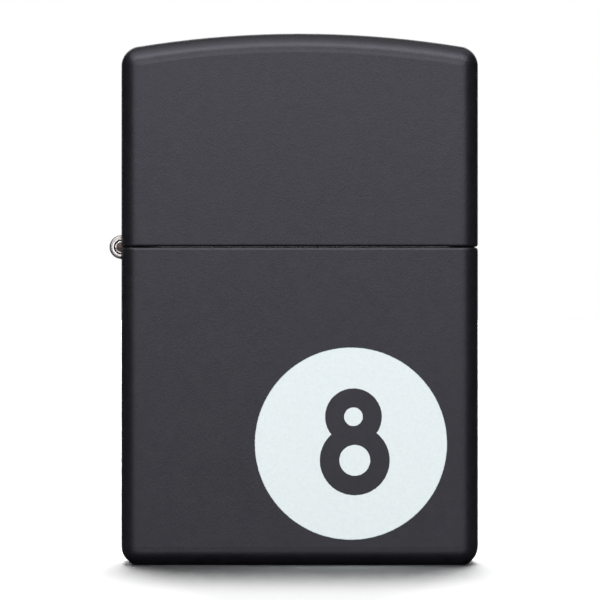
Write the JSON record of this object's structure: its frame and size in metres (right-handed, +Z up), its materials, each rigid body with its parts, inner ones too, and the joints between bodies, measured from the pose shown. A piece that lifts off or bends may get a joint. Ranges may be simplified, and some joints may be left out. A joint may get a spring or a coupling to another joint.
{
  "type": "flip-lid pocket lighter",
  "caption": "Windproof petrol pocket lighter with a hinged snap lid, lift-out insert, perforated windscreen and flint wheel, in a matt black case with a round number print.",
  "frame": {"origin": "middle of the case's resting face", "axes": "+X to the right of the printed front, with the hinge on the -X side; -Y out of the printed front; +Z up through the lid"},
  "size_m": [0.0394, 0.0127, 0.0569],
  "materials": {
    "black_coat": "matt black baked coating with a fine grain",
    "white_ink": "matt white screen-printed ink",
    "hinge_steel": "plain plated steel, a little rough",
    "insert_steel": "brushed stainless steel",
    "screen_steel": "satin stainless sheet",
    "wheel_steel": "hard file-cut steel",
    "rivet_steel": "bright pressed rivet heads",
    "cam_steel": "stamped steel",
    "spring_steel": "drawn spring steel",
    "plain_brass": "turned brass",
    "flint_alloy": "dark pressed flint alloy",
    "wick_cotton": "braided cotton with copper strands, charred at the end",
    "cotton_wool": "loose cotton wool",
    "white_felt": "pressed white felt"
  },
  "bodies": {
    "case": {"case_body": "black_coat", "number_print": "white_ink", "body_hinge_leaf": "hinge_steel", "hinge_pin": "hinge_steel", "insert_tank": "insert_steel", "insert_deck": "insert_steel", "windscreen": "screen_steel", "wheel_rivet": "rivet_steel", "cam_rivet": "rivet_steel", "cam_spring": "spring_steel", "spring_rivet": "rivet_steel", "flint_tube": "plain_brass", "flint_spring": "spring_steel", "flint_screw": "plain_brass", "wick": "wick_cotton", "felt_pad": "white_felt", "packing_1": "cotton_wool", "packing_2": "cotton_wool", "packing_3": "cotton_wool", "packing_4": "cotton_wool", "packing_5": "cotton_wool"},
    "lid": {"case_lid": "black_coat", "lid_hinge_leaf": "hinge_steel"},
    "wheel": {"flint_wheel": "wheel_steel"},
    "cam": {"snap_cam": "cam_steel"},
    "feed": {"flint": "flint_alloy", "spring_tip": "plain_brass"}
  },
  "joints": [
    {"name": "lid_hinge", "type": "hinge", "parent": "case", "child": "lid", "pos_m": [-0.01907, 0, 0.03405], "axis": [0, -1, 0], "range_deg": [0, 120]},
    {"name": "wheel_spin", "type": "hinge", "parent": "case", "child": "wheel", "pos_m": [0.00978, 0, 0.0443], "axis": [0, 1, 0], "continuous": true},
    {"name": "cam_pivot", "type": "hinge", "parent": "case", "child": "cam", "pos_m": [-0.01507, 0, 0.03735], "axis": [0, -1, 0], "range_deg": [0, 91], "deforming": ["cam_spring"]},
    {"name": "flint_feed", "type": "slide", "parent": "case", "child": "feed", "axis": [0, 0, 1], "range_m": [-0.005, 0], "stiffness_N_per_m": 300, "springref_m": 0.008, "deforming": ["flint_spring"]}
  ],
  "couplings": [
    {"joint": "cam_pivot", "follows": "lid_hinge", "ratio": 0.75604}
  ]
}
